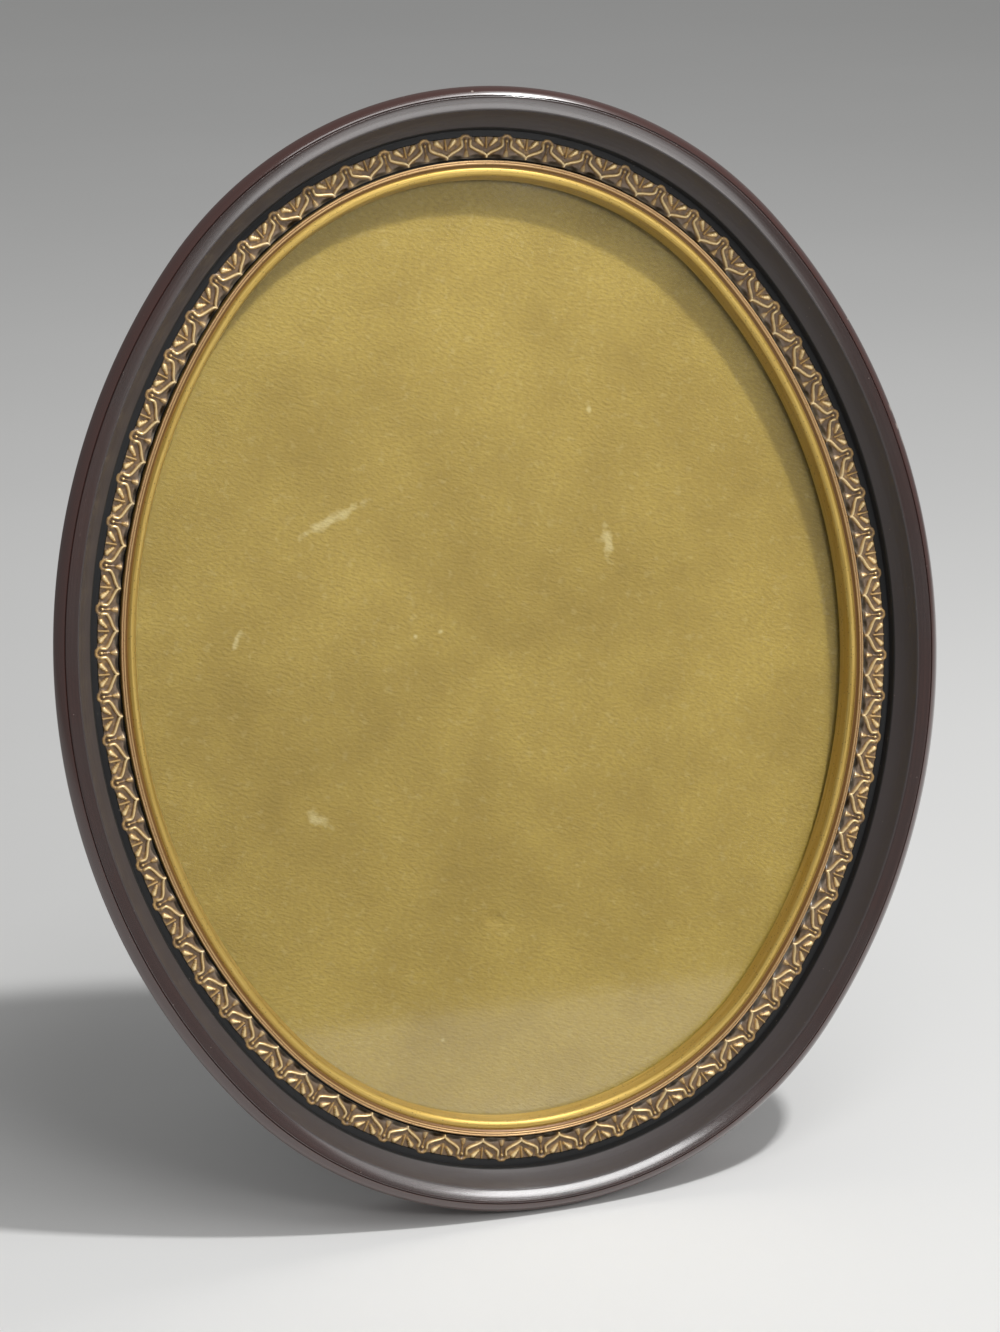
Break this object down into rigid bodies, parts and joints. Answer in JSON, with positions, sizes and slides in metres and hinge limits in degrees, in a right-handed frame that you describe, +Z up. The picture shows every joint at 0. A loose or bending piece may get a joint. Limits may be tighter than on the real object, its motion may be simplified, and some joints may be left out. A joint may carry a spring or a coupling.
{
  "type": "oval picture frame",
  "caption": "Oval table picture frame with dark profiled moulding, leaf-and-dart gilt band, glass, gold card and a folding easel strut.",
  "frame": {"origin": "middle of the footprint of the open, standing frame, on the table", "axes": "+Z up, -Y towards the viewer of the picture, +X to the viewer's right"},
  "size_m": [0.2412, 0.1072, 0.2882],
  "materials": {
    "mahogany": "semi-gloss lacquer",
    "antique_gilt": "bronzed gilt composition",
    "liner_gilt": "satin gilt",
    "glass": "clear",
    "gold_leatherette": "satin grained paper",
    "grey_board": "matte",
    "black_velour": "velour covered",
    "hinge_brass": "aged",
    "rivet_brass": "aged",
    "screw_steel": "worn plating",
    "hanger_brass": "aged",
    "button_steel": "dull"
  },
  "bodies": {
    "frame": {"moulding": "mahogany", "ornament_band": "antique_gilt", "gilt_liner": "liner_gilt", "glass_pane": "glass", "gold_card": "gold_leatherette", "filler_board": "grey_board", "back_panel": "black_velour", "hinge_panel_leaf": "hinge_brass", "hinge_pin": "hinge_brass", "panel_leaf_rivets": "rivet_brass", "back_screws": "screw_steel", "hanger_strap": "hanger_brass"},
    "strut": {"strut": "black_velour", "hinge_strut_leaf": "hinge_brass", "strut_leaf_rivets": "rivet_brass"},
    "turn_button_upper_right": {"turn_button_upper_right": "button_steel"},
    "turn_button_upper_left": {"turn_button_upper_left": "button_steel"},
    "turn_button_lower_left": {"turn_button_lower_left": "button_steel"},
    "turn_button_lower_right": {"turn_button_lower_right": "button_steel"},
    "hanger_ring": {"hanger_ring": "hanger_brass"}
  },
  "joints": [
    {"name": "strut_hinge", "type": "hinge", "parent": "frame", "child": "strut", "pos_m": [0, 0.01102, 0.17871], "axis": [-1, 0, 0], "range_deg": [0, 26]},
    {"name": "turn_button_upper_right_swivel", "type": "hinge", "parent": "frame", "child": "turn_button_upper_right", "pos_m": [0.08682, 0.01788, 0.21777], "axis": [0, -0.9744, 0.225], "continuous": true},
    {"name": "turn_button_upper_left_swivel", "type": "hinge", "parent": "frame", "child": "turn_button_upper_left", "pos_m": [-0.08682, 0.01788, 0.21777], "axis": [0, -0.9744, 0.225], "continuous": true},
    {"name": "turn_button_lower_left_swivel", "type": "hinge", "parent": "frame", "child": "turn_button_lower_left", "pos_m": [-0.08682, -0.01793, 0.06266], "axis": [0, -0.9744, 0.225], "continuous": true},
    {"name": "turn_button_lower_right_swivel", "type": "hinge", "parent": "frame", "child": "turn_button_lower_right", "pos_m": [0.08682, -0.01793, 0.06266], "axis": [0, -0.9744, 0.225], "continuous": true},
    {"name": "hanger_ring_swing", "type": "hinge", "parent": "frame", "child": "hanger_ring", "pos_m": [0, 0.03141, 0.26894], "axis": [1, 0, 0], "range_deg": [-12, 160]}
  ]
}
